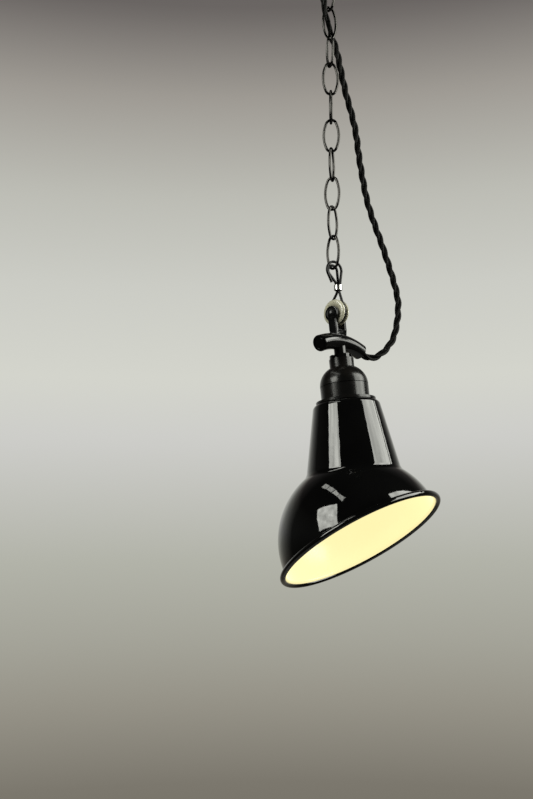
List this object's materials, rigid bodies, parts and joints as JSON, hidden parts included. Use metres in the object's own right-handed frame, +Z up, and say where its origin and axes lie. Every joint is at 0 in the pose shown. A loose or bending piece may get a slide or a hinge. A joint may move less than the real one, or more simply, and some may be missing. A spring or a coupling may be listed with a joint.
{
  "type": "pendant light",
  "caption": "Pendant light with a slant-cut black enamel bell shade, tilting on a porcelain bobbin in a wire sling, hung on a chain of oval links with a fabric cord.",
  "frame": {"origin": "centre of the ceiling plate's upper face, where it meets the ceiling", "axes": "+Z up; +Y along the bobbin's bolt towards the cord outlet of the horn; +X to the side that the shade's mouth faces"},
  "size_m": [0.1316, 0.1477, 0.5715],
  "materials": {
    "plate_black": "satin",
    "hook_black": "satin",
    "moulded_black": "matte",
    "cord_fabric": "twisted textile",
    "chain_steel": "black nickel plated",
    "sling_black": "satin",
    "ferrule_bright": "bright",
    "porcelain": "glazed",
    "fitting_black": "satin",
    "bolt_black": "blackened",
    "bakelite": "satin",
    "brass": "plain",
    "bulb_glass": "frosted, lit",
    "shade_black": "gloss enamel",
    "shade_white": "gloss enamel, lit by the bulb"
  },
  "bodies": {
    "ceiling": {"ceiling_plate": "plate_black", "ceiling_hook": "hook_black", "hook_locknut": "hook_black", "cord_bush": "moulded_black", "flex_cord": "cord_fabric"},
    "link_01": {"chain_link_01": "chain_steel"},
    "link_02": {"chain_link_02": "chain_steel"},
    "link_03": {"chain_link_03": "chain_steel"},
    "link_04": {"chain_link_04": "chain_steel"},
    "link_05": {"chain_link_05": "chain_steel"},
    "link_06": {"chain_link_06": "chain_steel"},
    "link_07": {"chain_link_07": "chain_steel"},
    "link_08": {"chain_link_08": "chain_steel"},
    "link_09": {"chain_link_09": "chain_steel"},
    "link_10": {"chain_link_10": "chain_steel"},
    "sling": {"wire_sling": "sling_black", "ferrule": "ferrule_bright", "bobbin": "porcelain"},
    "lamp": {"fork": "fitting_black", "pivot_bolt": "bolt_black", "pivot_nut": "bolt_black", "cord_horn": "fitting_black", "horn_plug": "fitting_black", "cord_grip": "moulded_black", "cord_tail": "cord_fabric", "stem_tube": "fitting_black", "stem_locknut": "fitting_black", "holder_cap": "bakelite", "holder_body": "bakelite", "shade_ring": "bakelite", "holder_core": "porcelain", "screw_shell": "brass", "centre_contact": "brass", "terminal_screws": "brass", "bulb_cap": "brass", "bulb_glass": "bulb_glass"},
    "shade": {"shade": "shade_black"}
  },
  "joints": [
    {"name": "link_01_swing", "type": "hinge", "parent": "ceiling", "child": "link_01", "pos_m": [0, 0, -0.03632], "axis": [-0.0087, -1, 0], "range_deg": [-30, 30], "deforming": ["flex_cord"]},
    {"name": "link_02_swing", "type": "hinge", "parent": "link_01", "child": "link_02", "pos_m": [0, 0, -0.06182], "axis": [0.9848, -0.1736, 0], "range_deg": [-30, 30]},
    {"name": "link_03_swing", "type": "hinge", "parent": "link_02", "child": "link_03", "pos_m": [0, 0, -0.08817], "axis": [0.3338, 0.9426, 0], "range_deg": [-30, 30]},
    {"name": "link_04_swing", "type": "hinge", "parent": "link_03", "child": "link_04", "pos_m": [0, 0, -0.11452], "axis": [-0.8746, 0.4848, 0], "range_deg": [-30, 30]},
    {"name": "link_05_swing", "type": "hinge", "parent": "link_04", "child": "link_05", "pos_m": [0, 0, -0.14087], "axis": [-0.6225, -0.7826, 0], "range_deg": [-30, 30]},
    {"name": "link_06_swing", "type": "hinge", "parent": "link_05", "child": "link_06", "pos_m": [0, 0, -0.16722], "axis": [0.6691, -0.7431, 0], "range_deg": [-30, 30]},
    {"name": "link_07_swing", "type": "hinge", "parent": "link_06", "child": "link_07", "pos_m": [0, 0, -0.19357], "axis": [0.8434, 0.5373, 0], "range_deg": [-30, 30]},
    {"name": "link_08_swing", "type": "hinge", "parent": "link_07", "child": "link_08", "pos_m": [0, 0, -0.21992], "axis": [-0.3907, 0.9205, 0], "range_deg": [-30, 30]},
    {"name": "link_09_swing", "type": "hinge", "parent": "link_08", "child": "link_09", "pos_m": [0, 0, -0.24627], "axis": [-0.9724, -0.2334, 0], "range_deg": [-30, 30]},
    {"name": "link_10_swing", "type": "hinge", "parent": "link_09", "child": "link_10", "pos_m": [0, 0, -0.27262], "axis": [0.0698, -0.9976, 0], "range_deg": [-30, 30]},
    {"name": "sling_swing", "type": "hinge", "parent": "link_10", "child": "sling", "pos_m": [0, 0, -0.29897], "axis": [0.9954, -0.0958, 0], "range_deg": [-30, 30]},
    {"name": "lamp_tilt", "type": "hinge", "parent": "sling", "child": "lamp", "pos_m": [-0.00098, 0.00437, -0.33879], "axis": [0, 1, 0], "range_deg": [-60, 60]},
    {"name": "shade_turn", "type": "hinge", "parent": "lamp", "child": "shade", "pos_m": [0.00787, 0.00437, -0.41644], "axis": [-0.1132, 0, 0.9936], "continuous": true}
  ]
}
